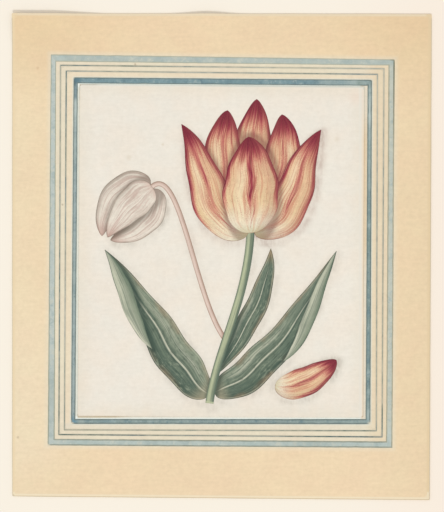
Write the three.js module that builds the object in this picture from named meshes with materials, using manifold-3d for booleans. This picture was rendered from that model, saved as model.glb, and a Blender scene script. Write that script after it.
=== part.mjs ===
// A mounted botanical drawing: a flower study on drawing paper, pasted on a larger tan mount
// sheet that carries a ruled and washed border. It lies on its back, picture side up.
//
// Millimetres. The origin is the middle of the mount's back, +Z comes out of the picture and
// +Y runs up it. The washes, the ink and the bodycolour are skins, built thicker than life.

import * as THREE from "three";
import { mergeVertices } from "three/addons/utils/BufferGeometryUtils.js";
import Module from "manifold-3d";

const wasm = await Module();
wasm.setup();

// Driving dimensions

const MOUNT_THICKNESS = 0.8;
const PASTE_THICKNESS = 0.1;
const PASTE_INSET = 2;
const SHEET_THICKNESS = 0.35;
const SKIN = 0.1;
const GAP = 0.3;
const MITRE_PULL_BACK = GAP * 0.75;

const RULED_LINE_WIDTH = 0.8;

// Corners run top left, top right, bottom right, bottom left. The mount was cut and the border
// ruled by hand, so none of them is quite square, and the bands are wider on some sides.
const MOUNT = [[-150.6, 174.6], [150.6, 174.2], [149.1, -174.6], [-150.6, -171.9]];
const OUTER_BAND = {
  outside: [[-122.8, 145.3], [123.9, 141.6], [122.3, -137.1], [-125.1, -135.3]],
  inside: [[-119, 140], [119.3, 137.2], [117.6, -132.3], [-119.9, -130.5]],
};
const OUTER_LINE = [[-116.2, 137.8], [116.6, 135.3], [115.2, -129.6], [-117.4, -127.9]];
const INNER_LINE = [[-112.1, 133.7], [111.9, 131.3], [111.1, -125.2], [-113.4, -124.5]];
const INNER_BAND = {
  outside: [[-106.5, 128.8], [107.7, 127], [106.5, -120.1], [-108.4, -119.9]],
  inside: [[-103.4, 124.4], [104.4, 122.7], [102.9, -116.3], [-105.1, -116.2]],
};
const SHEET = [[-102.1, 123.6], [101.8, 122.1], [101.2, -115], [-103.5, -114.4]];

// The mount's top edge has lifted: it stands off the table at the left corner, and in one short
// buckle further along. Below the lift the mount lies flat.
const LIFT = {
  startsAt: 147,
  curve: 1.6,
  corner: { height: 2.4, heldUntil: -127, endsAt: -79 },
  buckle: { height: 1.8, centre: -11, spread: 16 },
};

// Colours and finishes

const CARD = { color: 0xefd7b4, roughness: 0.92 };
const PASTE = { color: 0xd9c9a2, roughness: 0.7 };
const PAPER = { color: 0xefe7d9, roughness: 0.9 };
const PALE_BLUE = { color: 0xbac3bd, roughness: 0.88 };
const DEEP_BLUE = { color: 0x869d9f, roughness: 0.88 };
const RULING_INK = { color: 0x9fa69c, roughness: 0.85 };
const LEAF_GREEN = { color: 0x7c8a76, roughness: 0.8 };
const DEEP_GREEN = { color: 0x667868, roughness: 0.8 };
const LEAF_UNDERSIDE = { color: 0xabb09a, roughness: 0.8 };
const STALK_ROSE = { color: 0xceaea0, roughness: 0.8 };
const BUD_MAUVE = { color: 0xd4c6b8, roughness: 0.8 };
const BUD_GREY = { color: 0xaea192, roughness: 0.8 };
const PETAL_YELLOW = { color: 0xebcb86, roughness: 0.8 };
const PETAL_PEACH = { color: 0xe0a67c, roughness: 0.8 };
const PETAL_CRIMSON = { color: 0xb9565a, roughness: 0.8 };

// The flower study. Each painted area is a blade along a curved midline: route is the midline's
// four Bezier points, sides are its greatest half widths to the left and right of the way the
// midline runs, and belly and taper say how the width swells and narrows. Both at zero give an
// even stalk. Ripple waves the margins. Areas painted over others come first.
const PAINTED = [
  {
    name: "petal_front", paint: PETAL_CRIMSON,
    route: [[21, 17], [19, 38], [23, 60], [19, 86]], sides: [20, 20],
    belly: 0.5, taper: 0.66, ripple: 0.03,
  },
  {
    name: "petal_left", paint: PETAL_PEACH,
    route: [[19, 17], [-16, 22], [-8, 62], [-29, 95]], sides: [13, 15],
    belly: 0.55, taper: 0.85, ripple: 0.05,
  },
  {
    name: "petal_right", paint: PETAL_PEACH,
    route: [[23, 17], [58, 23], [50, 62], [71, 91]], sides: [15, 13],
    belly: 0.55, taper: 0.85, ripple: 0.05,
  },
  {
    name: "petal_back_left", paint: PETAL_YELLOW,
    route: [[18, 22], [0, 46], [-1, 76], [4, 105]], sides: [16, 15],
    belly: 0.5, taper: 0.66, ripple: 0.04,
  },
  {
    name: "petal_back_right", paint: PETAL_YELLOW,
    route: [[24, 22], [42, 46], [47, 72], [43, 102]], sides: [15, 16],
    belly: 0.5, taper: 0.66, ripple: 0.04,
  },
  {
    name: "petal_back_middle", paint: PETAL_YELLOW,
    route: [[21, 26], [19, 52], [23, 82], [25, 113]], sides: [16, 16],
    belly: 0.5, taper: 0.7, ripple: 0.04,
  },
  {
    name: "bud_front", paint: BUD_MAUVE,
    route: [[-50, 50], [-57, 45], [-72, 34], [-82, 14]], sides: [12, 12],
    belly: 0.45, taper: 0.75, ripple: 0.03,
  },
  {
    name: "bud_upper", paint: BUD_GREY,
    route: [[-51, 52], [-66, 54], [-84, 42], [-86, 15]], sides: [10, 12],
    belly: 0.5, taper: 0.7, ripple: 0.03,
  },
  {
    name: "bud_lower", paint: BUD_GREY,
    route: [[-49, 49], [-48, 34], [-58, 20], [-80, 12]], sides: [12, 9],
    belly: 0.5, taper: 0.7, ripple: 0.03,
  },
  {
    name: "stem", paint: LEAF_GREEN,
    route: [[-9, -105], [-4, -66], [19, -30], [20.5, 20]], sides: [2.9, 2.9],
    belly: 0, taper: 0, ripple: 0,
  },
  {
    name: "leaf_left_turn", paint: LEAF_UNDERSIDE,
    route: [[-50, -66], [-66, -46], [-68, -16], [-84, 5]], sides: [6, 5],
    belly: 0.9, taper: 0.9, ripple: 0.04,
  },
  {
    name: "leaf_left", paint: LEAF_GREEN,
    route: [[-9, -99], [-34, -80], [-48, -44], [-84, 5]], sides: [14, 14],
    belly: 0.45, taper: 0.85, ripple: 0.06,
  },
  {
    name: "leaf_right_turn", paint: LEAF_UNDERSIDE,
    route: [[44, -75], [62, -60], [66, -28], [82, 4]], sides: [5, 4],
    belly: 0.9, taper: 0.9, ripple: 0.04,
  },
  {
    name: "leaf_right", paint: DEEP_GREEN,
    route: [[-6, -97], [22, -88], [50, -58], [82, 4]], sides: [12, 13],
    belly: 0.45, taper: 0.85, ripple: 0.06,
  },
  {
    name: "leaf_back", paint: DEEP_GREEN,
    route: [[-3.5, -84], [14, -56], [34, -26], [35, 6]], sides: [8, 8],
    belly: 0.85, taper: 0.9, ripple: 0.05,
  },
  {
    name: "bud_stalk", paint: STALK_ROSE,
    route: [[3, -60], [-20, -32], [-30, 74], [-52, 48.5]], sides: [1.8, 1.8],
    belly: 0, taper: 0, ripple: 0,
  },
  {
    name: "fallen_petal", paint: PETAL_PEACH,
    route: [[38, -92], [51, -95], [67, -87], [82, -74]], sides: [10, 11],
    belly: 0.5, taper: 0.62, ripple: 0.02,
  },
];
const BLADE_STEPS = 22;
const RIPPLE_TURNS = 3;
const NARROWEST = 0.04;

const group = new THREE.Group();

function addPiece(name, geometry, finish) {
  const material = new THREE.MeshStandardMaterial({ ...finish, metalness: 0 });
  const mesh = new THREE.Mesh(geometry, material);
  mesh.name = name;
  group.add(mesh);
}

// Flat pieces

function prism(outline, bottom, top) {
  const shape = new THREE.Shape(outline.map(([x, y]) => new THREE.Vector2(x, y)));
  const geometry = new THREE.ExtrudeGeometry(shape, { depth: top - bottom, bevelEnabled: false });
  return geometry.translate(0, 0, bottom);
}

function unitStep([x0, y0], [x1, y1]) {
  const length = Math.hypot(x1 - x0, y1 - y0);
  return [(x1 - x0) / length, (y1 - y0) / length];
}

// The corners moved inward until each side has moved by the distance.
function insetCorners(corners, distance) {
  return corners.map((corner, i) => {
    const [ux, uy] = unitStep(corner, corners[(i + 1) % 4]);
    const [vx, vy] = unitStep(corner, corners[(i + 3) % 4]);
    const reach = distance / Math.abs(ux * vy - uy * vx);
    return [corner[0] + (ux + vx) * reach, corner[1] + (uy + vy) * reach];
  });
}

function ruledLine(corners) {
  return { outside: corners, inside: insetCorners(corners, RULED_LINE_WIDTH) };
}

// A border line or band: four mitred strips, kept apart at the mitres.
function addBorder(name, { outside, inside }, finish) {
  ["top", "right", "bottom", "left"].forEach((side, i) => {
    const next = (i + 1) % 4;
    const [ux, uy] = unitStep(outside[i], outside[next]);
    const shifted = ([x, y], way) => {
      const step = MITRE_PULL_BACK * way;
      return [x + ux * step, y + uy * step];
    };
    const outline = [
      shifted(outside[i], 1),
      shifted(outside[next], -1),
      shifted(inside[next], -1),
      shifted(inside[i], 1),
    ];
    addPiece(`${name}_${side}`, prism(outline, MOUNT_TOP, MOUNT_TOP + SKIN), finish);
  });
}

// The mount sheet

const MOUNT_TOP = MOUNT_THICKNESS;
const BOTTOM_MARGIN_TOP = -139;
const EDGE_COLUMNS = 40;
const LIFTED_ROWS = 6;

function smoothStep(value, low, high) {
  const t = Math.min(Math.max((value - low) / (high - low), 0), 1);
  return t * t * (3 - 2 * t);
}

// How far the mount stands off the table, above the place x, y.
function liftAt(x, y) {
  const { startsAt, curve, corner, buckle } = LIFT;
  const climb = Math.max(0, (y - startsAt) / (MOUNT[0][1] - startsAt)) ** curve;
  const atCorner = corner.height * (1 - smoothStep(x, corner.heldUntil, corner.endsAt));
  const atBuckle = buckle.height * Math.exp(-(((x - buckle.centre) / buckle.spread) ** 2));
  return climb * (atCorner + atBuckle);
}

// A box bent to the mount's outline. Its rows, measured up the left side, are the bare bottom
// margin, the flat field with the border and the drawing, and the strip that lifts.
function mountSheet() {
  const [topLeft, topRight, bottomRight, bottomLeft] = MOUNT;
  const side = topLeft[1] - bottomLeft[1];
  const liftedRow = (topLeft[1] - LIFT.startsAt) / LIFTED_ROWS;
  const heights = [bottomLeft[1], BOTTOM_MARGIN_TOP, LIFT.startsAt];
  for (let i = 1; i <= LIFTED_ROWS; i++) heights.push(LIFT.startsAt + i * liftedRow);
  const rows = heights.length - 1;
  const geometry = new THREE.BoxGeometry(1, 1, 1, EDGE_COLUMNS, rows, 1);
  const place = geometry.attributes.position;
  for (let i = 0; i < place.count; i++) {
    const across = place.getX(i) + 0.5;
    const row = Math.round((place.getY(i) + 0.5) * rows);
    const up = (heights[row] - bottomLeft[1]) / side;
    const [x, y] = [0, 1].map((k) => {
      const low = bottomLeft[k] + (bottomRight[k] - bottomLeft[k]) * across;
      const high = topLeft[k] + (topRight[k] - topLeft[k]) * across;
      return low + (high - low) * up;
    });
    const z = (place.getZ(i) + 0.5) * MOUNT_THICKNESS;
    place.setXYZ(i, x, y, z + liftAt(x, y));
  }
  return geometry;
}

addPiece("mount_sheet", mountSheet(), CARD);
addBorder("outer_band", OUTER_BAND, PALE_BLUE);
addBorder("outer_line", ruledLine(OUTER_LINE), RULING_INK);
addBorder("inner_line", ruledLine(INNER_LINE), RULING_INK);
addBorder("inner_band", INNER_BAND, DEEP_BLUE);

// The drawing sheet on its paste

const SHEET_BOTTOM = MOUNT_TOP + PASTE_THICKNESS;
const SHEET_TOP = SHEET_BOTTOM + SHEET_THICKNESS;

addPiece("paste_layer", prism(insetCorners(SHEET, PASTE_INSET), MOUNT_TOP, SHEET_BOTTOM), PASTE);
addPiece("drawing_sheet", prism(SHEET, SHEET_BOTTOM, SHEET_TOP), PAPER);

// The painted areas

// Half the blade's width at t, as a share of its greatest half width.
function widthShare(t, belly, taper) {
  if (belly + taper === 0) return 1;
  const widest = belly / (belly + taper);
  const greatest = widest ** belly * (1 - widest) ** taper;
  return Math.max(NARROWEST, (t ** belly * (1 - t) ** taper) / greatest);
}

// A blade's outline, grown all round by the margin.
function bladeOutline({ route, sides, belly, taper, ripple }, margin) {
  const midline = new THREE.CubicBezierCurve(...route.map(([x, y]) => new THREE.Vector2(x, y)));
  const left = [];
  const right = [];
  for (let step = 0; step <= BLADE_STEPS; step++) {
    const t = step / BLADE_STEPS;
    const way = midline.getTangent(t);
    const ahead = margin * (2 * t - 1);
    const point = midline.getPoint(t).addScaledVector(way, ahead);
    const share = widthShare(t, belly, taper);
    const wave = ripple * Math.sin(2 * Math.PI * RIPPLE_TURNS * t);
    const leftReach = sides[0] * share * (1 + wave) + margin;
    const rightReach = sides[1] * share * (1 - wave) + margin;
    left.push([point.x - way.y * leftReach, point.y + way.x * leftReach]);
    right.push([point.x + way.y * rightReach, point.y - way.x * rightReach]);
  }
  return [...left, ...right.reverse()];
}

function toSolid(geometry) {
  geometry.deleteAttribute("normal");
  geometry.deleteAttribute("uv");
  const merged = mergeVertices(geometry);
  const vertProperties = merged.attributes.position.array;
  const triVerts = new Uint32Array(merged.index.array);
  return new wasm.Manifold(new wasm.Mesh({ numProp: 3, vertProperties, triVerts }));
}

function toGeometry(solid) {
  const mesh = solid.getMesh();
  const geometry = new THREE.BufferGeometry();
  geometry.setAttribute("position", new THREE.BufferAttribute(mesh.vertProperties, 3));
  geometry.setIndex(new THREE.BufferAttribute(mesh.triVerts, 1));
  return geometry;
}

function largestPiece(solid) {
  return solid.decompose().reduce((a, b) => (b.volume() > a.volume() ? b : a));
}

// Each area gives way, with a hairline of bare paper, to those painted over it.
let paintedOver = null;
for (const area of PAINTED) {
  let skin = toSolid(prism(bladeOutline(area, 0), SHEET_TOP, SHEET_TOP + SKIN));
  if (paintedOver) skin = largestPiece(skin.subtract(paintedOver));
  addPiece(`painted_${area.name}`, toGeometry(skin), area.paint);
  const reserved = toSolid(prism(bladeOutline(area, GAP), SHEET_BOTTOM, SHEET_TOP + 2 * SKIN));
  paintedOver = paintedOver ? paintedOver.add(reserved) : reserved;
}

export default group;
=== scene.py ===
"""Mounted botanical drawing: a flower study on off-white paper, pasted on a larger tan mount.

The mount carries a border of ruled ink lines and washed blue bands. The whole lies on its back
on a pale table, picture side up, with +Y up the picture and +Z out of it. Metres throughout.
"""

import math
from typing import NamedTuple

import bmesh
import bpy
import numpy as np
from bpy.props import FloatProperty, FloatVectorProperty, PointerProperty
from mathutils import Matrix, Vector, noise


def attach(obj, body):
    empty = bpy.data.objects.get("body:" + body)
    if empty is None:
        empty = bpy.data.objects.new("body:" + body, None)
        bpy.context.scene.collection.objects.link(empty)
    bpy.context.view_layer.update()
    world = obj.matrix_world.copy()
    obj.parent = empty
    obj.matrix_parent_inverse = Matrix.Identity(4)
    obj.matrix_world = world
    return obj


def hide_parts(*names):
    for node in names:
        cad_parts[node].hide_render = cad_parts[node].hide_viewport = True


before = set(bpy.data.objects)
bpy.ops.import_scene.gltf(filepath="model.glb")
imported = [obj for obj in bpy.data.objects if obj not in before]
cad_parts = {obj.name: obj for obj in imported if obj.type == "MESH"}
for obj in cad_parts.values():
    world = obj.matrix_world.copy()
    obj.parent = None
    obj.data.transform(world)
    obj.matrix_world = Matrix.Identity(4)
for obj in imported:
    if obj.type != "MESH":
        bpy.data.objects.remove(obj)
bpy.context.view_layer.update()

bl_info = {
    "name": "Mounted Botanical Drawing",
    "version": (1, 0, 0),
    "blender": (4, 5, 0),
    "location": "View3D > Sidebar > Drawing",
    "description": "Builds a flower study on its washed and ruled mount",
    "category": "Add Mesh",
}

MM = 0.001

# Outlines


def quad(*corners):
    """Four corners in millimetres: top left, top right, bottom right, bottom left."""
    return [Vector((x * MM, y * MM)) for x, y in corners]


# The mount was cut and the border ruled by hand, so none of them is quite square, and the bands,
# which have an outer and an inner outline, are wider on some sides.
MOUNT = quad((-150.6, 174.6), (150.6, 174.2), (149.1, -174.6), (-150.6, -171.9))
OUTER_BAND = (
    quad((-122.8, 145.3), (123.9, 141.6), (122.3, -137.1), (-125.1, -135.3)),
    quad((-119, 140), (119.3, 137.2), (117.6, -132.3), (-119.9, -130.5)),
)
OUTER_LINE = quad((-116.2, 137.8), (116.6, 135.3), (115.2, -129.6), (-117.4, -127.9))
INNER_LINE = quad((-112.1, 133.7), (111.9, 131.3), (111.1, -125.2), (-113.4, -124.5))
INNER_BAND = (
    quad((-106.5, 128.8), (107.7, 127), (106.5, -120.1), (-108.4, -119.9)),
    quad((-103.4, 124.4), (104.4, 122.7), (102.9, -116.3), (-105.1, -116.2)),
)
SHEET = quad((-102.1, 123.6), (101.8, 122.1), (101.2, -115), (-103.5, -114.4))

# Where the mount's top edge leaves the table.
LIFT_START = 147 * MM
LIFT_CURVE = 1.6
CORNER_HELD = -127 * MM
CORNER_ENDS = -79 * MM
BUCKLE_CENTRE = -11 * MM
BUCKLE_SPREAD = 16 * MM
# The slow waves of the whole mount.
COCKLE_WIDTH = 55 * MM
COCKLE_HEIGHT = 70 * MM
COCKLE_SEED = 4.2


class Blade(NamedTuple):
    """One painted area: a shape along a curved midline, in millimetres.

    sides are its greatest half widths left and right of the way the midline runs, belly and
    taper say how the width swells and narrows, and layer says what it is painted over.
    """

    route: tuple
    sides: tuple
    belly: float
    taper: float
    ripple: float
    layer: int


BLADES = {
    "petal_front": Blade(((21, 17), (19, 38), (23, 60), (19, 86)), (20, 20), 0.5, 0.66, 0.03, 4),
    "petal_left": Blade(((19, 17), (-16, 22), (-8, 62), (-29, 95)), (13, 15), 0.55, 0.85, 0.05, 3),
    "petal_right": Blade(((23, 17), (58, 23), (50, 62), (71, 91)), (15, 13), 0.55, 0.85, 0.05, 3),
    "petal_back_left": Blade(((18, 22), (0, 46), (-1, 76), (4, 105)), (16, 15), 0.5, 0.66, 0.04, 1),
    "petal_back_right": Blade(((24, 22), (42, 46), (47, 72), (43, 102)), (15, 16), 0.5, 0.66, 0.04, 1),
    "petal_back_middle": Blade(((21, 26), (19, 52), (23, 82), (25, 113)), (16, 16), 0.5, 0.7, 0.04, 0),
    "fallen_petal": Blade(((38, -92), (51, -95), (67, -87), (82, -74)), (10, 11), 0.5, 0.62, 0.02, 0),
    "bud_front": Blade(((-50, 50), (-57, 45), (-72, 34), (-82, 14)), (12, 12), 0.45, 0.75, 0.03, 3),
    "bud_upper": Blade(((-51, 52), (-66, 54), (-84, 42), (-86, 15)), (10, 12), 0.5, 0.7, 0.03, 2),
    "bud_lower": Blade(((-49, 49), (-48, 34), (-58, 20), (-80, 12)), (12, 9), 0.5, 0.7, 0.03, 1),
    "bud_stalk": Blade(((3, -60), (-20, -32), (-30, 74), (-52, 48.5)), (1.8, 1.8), 0, 0, 0, 0),
    "stem": Blade(((-9, -105), (-4, -66), (19, -30), (20.5, 20)), (2.9, 2.9), 0, 0, 0, 2),
    "leaf_left": Blade(((-9, -99), (-34, -80), (-48, -44), (-84, 5)), (14, 14), 0.45, 0.85, 0.06, 0),
    "leaf_left_turn": Blade(((-50, -66), (-66, -46), (-68, -16), (-84, 5)), (6, 5), 0.9, 0.9, 0.04, 1),
    "leaf_right": Blade(((-6, -97), (22, -88), (50, -58), (82, 4)), (12, 13), 0.45, 0.85, 0.06, 1),
    "leaf_right_turn": Blade(((44, -75), (62, -60), (66, -28), (82, 4)), (5, 4), 0.9, 0.9, 0.04, 2),
    "leaf_back": Blade(((-3.5, -84), (14, -56), (34, -26), (35, 6)), (8, 8), 0.85, 0.9, 0.05, 0),
}
RIPPLE_TURNS = 3
NARROWEST = 0.012


def tint(red, green, blue):
    """A colour given as it looks, 0 to 255, in the linear numbers that the shaders take."""

    def linear(value):
        share = value / 255
        return share / 12.92 if share <= 0.04045 else ((share + 0.055) / 1.055) ** 2.4

    return (linear(red), linear(green), linear(blue), 1.0)


# Settings


def colour(name, description, red, green, blue):
    shade = tint(red, green, blue)
    return FloatVectorProperty(
        name=name, description=description, default=shade, size=4, min=0, max=1, subtype="COLOR"
    )


def number(name, description, value, unit="NONE"):
    return FloatProperty(name=name, description=description, default=value, min=0, unit=unit)


def length(name, description, value):
    return number(name, description, value, "LENGTH")


class PaperSettings(bpy.types.PropertyGroup):
    """Sizes of the two sheets and of what is laid on them."""

    mount_thickness: length("Mount Thickness", "Thickness of the tan mount sheet", 0.8 * MM)
    paste_thickness: length("Paste Thickness", "Thickness of the dried paste", 0.1 * MM)
    sheet_thickness: length("Sheet Thickness", "Thickness of the drawing paper", 0.35 * MM)
    skin: length("Paint Thickness", "Thickness of the washes and the lowest paint", 0.06 * MM)
    layer_step: length("Layer Step", "Rise from one painted layer to the next", 0.03 * MM)
    corner_lift: length("Corner Lift", "How far the top left corner stands off the table", 2.4 * MM)
    buckle_lift: length("Buckle Lift", "Height of the short buckle in the top edge", 1.8 * MM)
    cockle: length("Cockle", "Height of the slow waves in the mount", 0.12 * MM)
    line_width: length("Line Width", "Width of the two ruled lines", 0.8 * MM)


class PaperColours(bpy.types.PropertyGroup):
    """Colours of the mount, the drawing paper and the border."""

    card: colour("Card", "Tan of the mount", 239, 215, 180)
    card_left: colour("Card, Left", "Mount colour at its left edge", 238, 218, 184)
    card_right: colour("Card, Right", "Mount colour at its right edge", 234, 211, 175)
    card_corner: colour("Card, Top Corners", "Browner mount at its top corners", 231, 203, 163)
    ground: colour("Border Ground", "Greyer tone round the ruled lines", 232, 222, 199)
    ground_inner: colour("Inner Ground", "Tone beside the inner band", 236, 221, 195)
    ground_foot: colour("Foot Ground", "Cooler ground at the foot", 231, 222, 202)
    ground_right: colour("Right Ground", "Toned ground at the right", 230, 213, 184)
    paper: colour("Drawing Paper", "Off-white of the drawing sheet", 239, 231, 219)
    paper_edge: colour("Toned Paper", "Drawing sheet near its edges", 232, 221, 203)
    foxing: colour("Foxing", "Brown of the age spots", 196, 160, 118)
    pale_top: colour("Pale Wash, Top", "Grey-blue of the outer band's top", 180, 190, 183)
    pale_worn: colour("Pale Wash, Worn", "Olive tone of its right side", 191, 196, 184)
    pale_deep: colour("Pale Wash, Deep", "Bluer tone of its foot", 182, 194, 188)
    pale_blue: colour("Pale Wash, Left", "Clear grey-blue of its left side", 190, 199, 193)
    deep_blue: colour("Deep Wash", "Blue of the inner band", 126, 152, 158)
    deep_grey: colour("Deep Wash, Grey", "Greyer tone of its right side", 135, 154, 151)
    deep_foot: colour("Deep Wash, Foot", "Greyer tone of its foot", 142, 158, 155)
    deep_worn: colour("Deep Wash, Worn", "Thin wash on its left side", 155, 169, 168)
    dark_ink: colour("Deep Band Ink", "Dark outline of the inner band", 108, 122, 118)
    grey_ink: colour("Outer Line Ink", "Blue-grey ink of the outer line", 76, 109, 116)
    full_ink: colour("Outer Line Ink, Foot", "The same ink laid full", 42, 89, 102)
    blue_ink: colour("Inner Line Ink", "Bluer ink of the inner line", 80, 114, 124)
    olive_ink: colour("Inner Line Ink, Foot", "Olive ink of the inner line", 70, 101, 99)


class FlowerColours(bpy.types.PropertyGroup):
    """Colours of the flower study."""

    cream: colour("Cream", "Palest part of the petals", 236, 228, 204)
    yellow: colour("Yellow", "Ground colour of the petals", 231, 204, 160)
    peach: colour("Peach", "Body colour of the petals", 220, 166, 136)
    salmon: colour("Salmon", "Blush beside the stripes", 200, 116, 106)
    crimson: colour("Crimson", "Stripes and tips of the petals", 160, 58, 74)
    deep_crimson: colour("Deep Crimson", "Darkest strokes in the stripes", 112, 34, 52)
    leaf: colour("Leaf", "Middle grey-green of the leaves", 112, 127, 108)
    leaf_dark: colour("Leaf Shadow", "Dark grey-green of the leaves", 86, 104, 91)
    leaf_deep: colour("Leaf Depth", "Darkest green in folds and outlines", 58, 77, 67)
    leaf_pale: colour("Leaf Bloom", "Pale bloom on the leaves", 160, 168, 145)
    leaf_light: colour("Leaf Light", "Lightest strokes on the leaves", 206, 206, 184)
    mauve: colour("Mauve", "Body of the bud", 219, 206, 191)
    bud_light: colour("Bud Light", "Lightest part of the bud", 232, 223, 208)
    mauve_shadow: colour("Bud Shadow", "Grey of the bud's veins and folds", 176, 162, 147)
    bud_dark: colour("Bud Depth", "Darkest side of the bud", 108, 97, 84)
    rose: colour("Rose", "Stalk and veins of the bud", 206, 174, 160)


class StageSettings(bpy.types.PropertyGroup):
    """Table, light and camera."""

    table: colour("Table", "Pale surface that the drawing lies on", 249, 241, 227)
    sky: number("Ambient Light", "Strength of the even light", 0.76)
    lamp: number("Lamp", "Strength of the soft lamp below the picture", 1.19)
    camera_height: length("Camera Height", "Height of the lens over the drawing", 1.021)


# Meshes


def smooth_step(value, low, high):
    share = min(max((value - low) / (high - low), 0), 1)
    return share * share * (3 - 2 * share)


def drift(x, y, width, height, seed):
    """A slow wander from 0 to 1, the same in each run, in patches of that width and height."""
    return 0.5 + 0.5 * noise.noise(Vector((x / width, y / height, seed)))


def underside(x, y):
    """Height of the mount's back over the table."""
    paper = bpy.context.scene.drawing_paper
    climb = max(0, (y - LIFT_START) / (MOUNT[0].y - LIFT_START)) ** LIFT_CURVE
    corner = paper.corner_lift * (1 - smooth_step(x, CORNER_HELD, CORNER_ENDS))
    buckle = paper.buckle_lift * math.exp(-(((x - BUCKLE_CENTRE) / BUCKLE_SPREAD) ** 2))
    wave = paper.cockle * drift(x, y, COCKLE_WIDTH, COCKLE_HEIGHT, COCKLE_SEED)
    return min(climb, 1) * (corner + buckle) + wave * (1 - min(climb, 1))


def mount_face(x, y):
    return underside(x, y) + bpy.context.scene.drawing_paper.mount_thickness


def sheet_back(x, y):
    return mount_face(x, y) + bpy.context.scene.drawing_paper.paste_thickness


def sheet_face(x, y):
    return sheet_back(x, y) + bpy.context.scene.drawing_paper.sheet_thickness


def within(corners, across, up):
    """The place in a four-cornered outline, from its bottom left."""
    top_left, top_right, bottom_right, bottom_left = corners
    low = bottom_left.lerp(bottom_right, across)
    return low.lerp(top_left.lerp(top_right, across), up)


def side_way(corners, i):
    """The way along the side of an outline that starts at its corner i."""
    return (corners[(i + 1) % 4] - corners[i]).normalized()


def inset(corners, distance):
    """The corners moved inward until each side has moved by the distance."""
    moved = []
    for i, corner in enumerate(corners):
        ahead, behind = side_way(corners, i), -side_way(corners, i - 1)
        moved.append(corner + (ahead + behind) * distance / abs(ahead.cross(behind)))
    return moved


def edge_distances(corners, spots):
    """How far each spot lies inside the nearest side of a four-cornered outline."""
    nearest = np.full(len(spots), np.inf)
    for i, corner in enumerate(corners):
        along = side_way(corners, i)
        away = spots - np.array(corner)
        nearest = np.minimum(nearest, along.y * away[:, 0] - along.x * away[:, 1])
    return nearest


def new_grid(columns, rows):
    """A flat unit grid with a UV map."""
    mesh = bmesh.new()
    mesh.loops.layers.uv.new("UVMap")
    bmesh.ops.create_grid(mesh, x_segments=columns, y_segments=rows, size=0.5, calc_uvs=True)
    return mesh


def shares(vert):
    """How far a corner of the unit grid lies across it and up it, from 0 to 1."""
    return vert.co.x + 0.5, vert.co.y + 0.5


def close_below(mesh, floor):
    """Gives an open skin its sides and its back, which lies at the height floor(x, y)."""
    whole = mesh.verts[:] + mesh.edges[:] + mesh.faces[:]
    made = bmesh.ops.extrude_face_region(mesh, geom=whole, use_keep_orig=True)
    for vert in made["geom"]:
        if isinstance(vert, bmesh.types.BMVert):
            vert.co.z = floor(vert.co.x, vert.co.y)
    bmesh.ops.recalc_face_normals(mesh, faces=mesh.faces[:])


# Faces that meet at more than this keep a sharp edge.
CREASE = math.radians(40)


def finish_piece(mesh, name, material, nodes):
    """Makes the object, hands it its material and hides the solids it stands for."""
    data = bpy.data.meshes.new(name)
    mesh.to_mesh(data)
    mesh.free()
    data.polygons.foreach_set("use_smooth", [True] * len(data.polygons))
    data.set_sharp_from_angle(angle=CREASE)
    data.materials.append(material)
    piece = bpy.data.objects.new(name, data)
    bpy.context.scene.collection.objects.link(piece)
    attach(piece, "root")
    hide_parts(*nodes)
    return piece


def store(piece, name, values):
    """Keeps one number for each vertex, which the piece's material reads."""
    layer = piece.data.attributes.new(name, "FLOAT", "POINT")
    layer.data.foreach_set("value", np.asarray(values, dtype=np.float32))


def places(piece):
    """The x and y of every vertex."""
    co = np.empty(len(piece.data.vertices) * 3)
    piece.data.vertices.foreach_get("co", co)
    return co.reshape(-1, 3)[:, :2]


# Blades


def midline(blade, t):
    """The midline's place and way at t, in metres."""
    a, b, c, d = (Vector(point) * MM for point in blade.route)
    s = 1 - t
    place = a * s**3 + b * 3 * s * s * t + c * 3 * s * t * t + d * t**3
    way = (b - a) * s * s + (c - b) * 2 * s * t + (d - c) * t * t
    return place, way.normalized()


def width_share(blade, t):
    if blade.belly + blade.taper == 0:
        return 1
    widest = blade.belly / (blade.belly + blade.taper)
    greatest = widest**blade.belly * (1 - widest) ** blade.taper
    return max(NARROWEST, t**blade.belly * (1 - t) ** blade.taper / greatest)


def reaches(blade, t):
    """Half widths to the left and to the right of the midline at t, in metres."""
    share = width_share(blade, t) * MM
    wave = blade.ripple * math.sin(math.tau * RIPPLE_TURNS * t)
    return blade.sides[0] * share * (1 + wave), blade.sides[1] * share * (1 - wave)


def blade_place(blade, t, across):
    """The place on a blade: t runs from base to tip, across from 0 at its left to 1."""
    place, way = midline(blade, t)
    left, right = reaches(blade, t)
    offset = left + (-left - right) * across
    return place + Vector((-way.y, way.x)) * offset


def rim_distance(blade, t, across):
    """Roughly how far a place on a blade lies from its outline."""
    left, right = reaches(blade, t)
    span = left + right
    long_way = (Vector(blade.route[3]) - Vector(blade.route[0])).length * MM
    return min(across * span, (1 - across) * span, t * long_way, (1 - t) * long_way)


# What each painted area passes under, and so takes a painted shadow from.
PASSES_UNDER = {
    "petal_back_middle": ("petal_back_left", "petal_back_right", "petal_front"),
    "petal_back_left": ("petal_left", "petal_front"),
    "petal_back_right": ("petal_right", "petal_front"),
    "petal_left": ("petal_front",),
    "petal_right": ("petal_front",),
    "bud_lower": ("bud_front",),
    "bud_upper": ("bud_front",),
    "bud_stalk": ("stem", "leaf_back"),
    "leaf_left": ("leaf_left_turn", "stem"),
    "leaf_right": ("leaf_right_turn", "stem"),
    "leaf_back": ("stem", "leaf_right"),
}
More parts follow.
